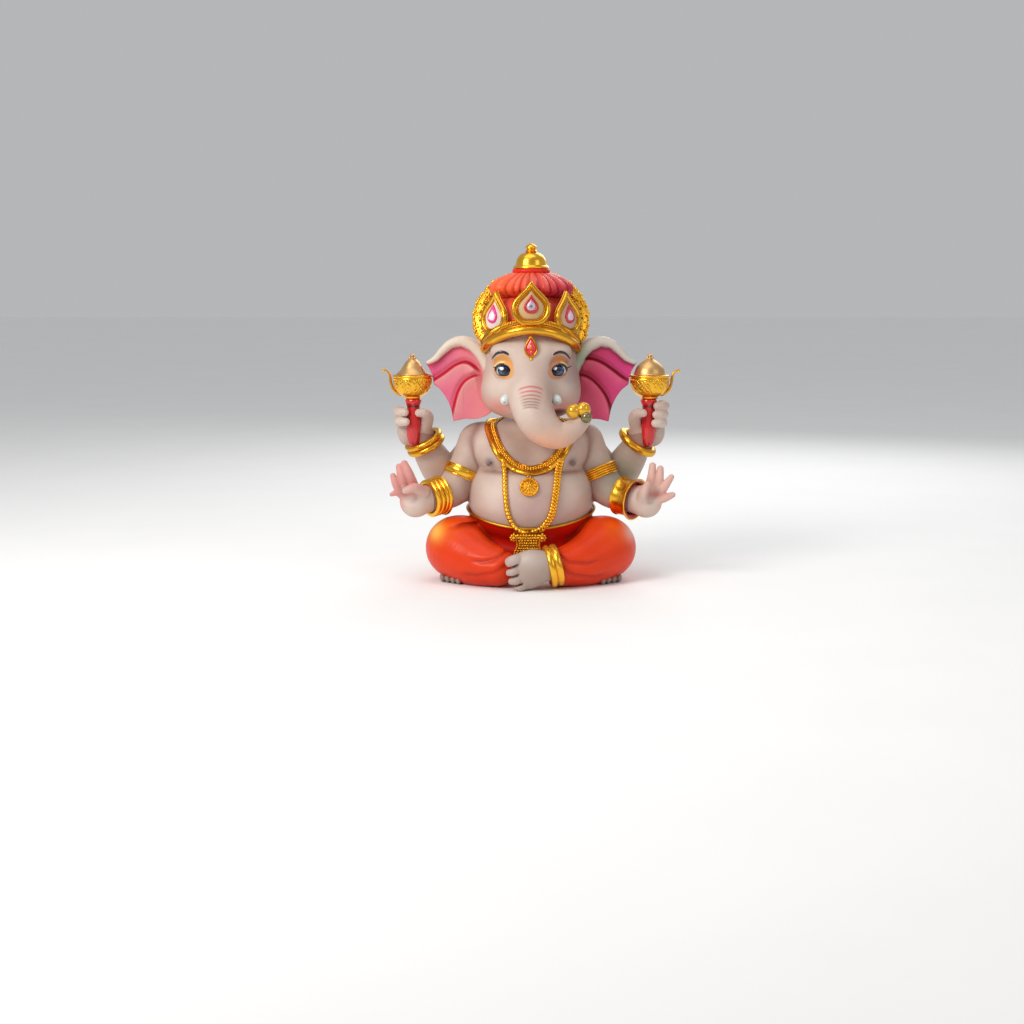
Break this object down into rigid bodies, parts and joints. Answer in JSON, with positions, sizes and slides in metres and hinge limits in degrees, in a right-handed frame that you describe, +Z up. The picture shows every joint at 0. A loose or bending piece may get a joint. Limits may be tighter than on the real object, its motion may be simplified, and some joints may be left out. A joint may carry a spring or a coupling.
{
  "type": "ganesha idol",
  "caption": "Seated four-armed elephant-headed household idol with turban crown, raised lamps, necklaces and a dhoti, resting on a flat felt base.",
  "frame": {"origin": "on the underside of the felt pad, under the middle of the seat", "axes": "+Z up, -Y the way the idol faces, +X towards the idol's own left hand"},
  "size_m": [0.1462, 0.0849, 0.1657],
  "materials": {
    "skin": "matte grey-beige paint on cast resin with a pink blush",
    "gold": "bright metallic gold paint on cast resin",
    "cloth_orange": "satin orange paint, moulded as folded cloth",
    "cloth_red": "satin coral-red paint",
    "gem_red": "glossy red enamel drop",
    "grip_red": "gloss deep-red paint",
    "ear_pink": "matte pink paint deepening to magenta at the points",
    "tusk_ivory": "smooth cool-white gloss",
    "eye": "gloss painted eye, dark blue iris on white",
    "dowel_steel": "plain steel rod, hidden inside",
    "felt": "short dark felt"
  },
  "bodies": {
    "root": {"anklet": "gold", "armlet_left": "gold", "armlet_right": "gold", "collar_necklace": "gold", "crown_band": "gold", "crown_dowel": "dowel_steel", "crown_finial": "gold", "crown_gem_front": "gem_red", "crown_gem_left": "gem_red", "crown_gem_right": "gem_red", "crown_halo": "gold", "crown_plaque_front": "gold", "crown_plaque_left": "gold", "crown_plaque_right": "gold", "dhoti_leg_left": "cloth_orange", "dhoti_leg_right": "cloth_orange", "dhoti_seat": "cloth_red", "ear_left": "ear_pink", "ear_right": "ear_pink", "eye_left": "eye", "eye_right": "eye", "felt_pad": "felt", "forehead_jewel": "gem_red", "front_arm_dowel": "dowel_steel", "front_arm_left": "skin", "front_arm_right": "skin", "front_bangle_left": "gold", "front_bangle_right": "gold", "front_foot": "skin", "front_hand_left": "skin", "front_hand_right": "skin", "head": "skin", "lamp_bowl_left": "gold", "lamp_bowl_right": "gold", "lamp_grip_left": "grip_red", "lamp_grip_right": "grip_red", "lamp_lid_left": "gold", "lamp_lid_right": "gold", "lamp_spout_left": "gold", "lamp_spout_right": "gold", "long_necklace": "gold", "neck_dowel": "dowel_steel", "pendant": "gold", "rear_arm_dowel": "dowel_steel", "rear_arm_left": "skin", "rear_arm_right": "skin", "rear_bangle_left": "gold", "rear_bangle_right": "gold", "rear_hand_left": "skin", "rear_hand_right": "skin", "torso": "skin", "trunk": "skin", "trunk_sweets": "gold", "tucked_toes_left": "skin", "tucked_toes_right": "skin", "turban_dome": "cloth_red", "turban_roll": "cloth_orange", "tusk_left": "tusk_ivory", "tusk_right": "tusk_ivory", "waist_belt": "gold"}
  },
  "joints": []
}
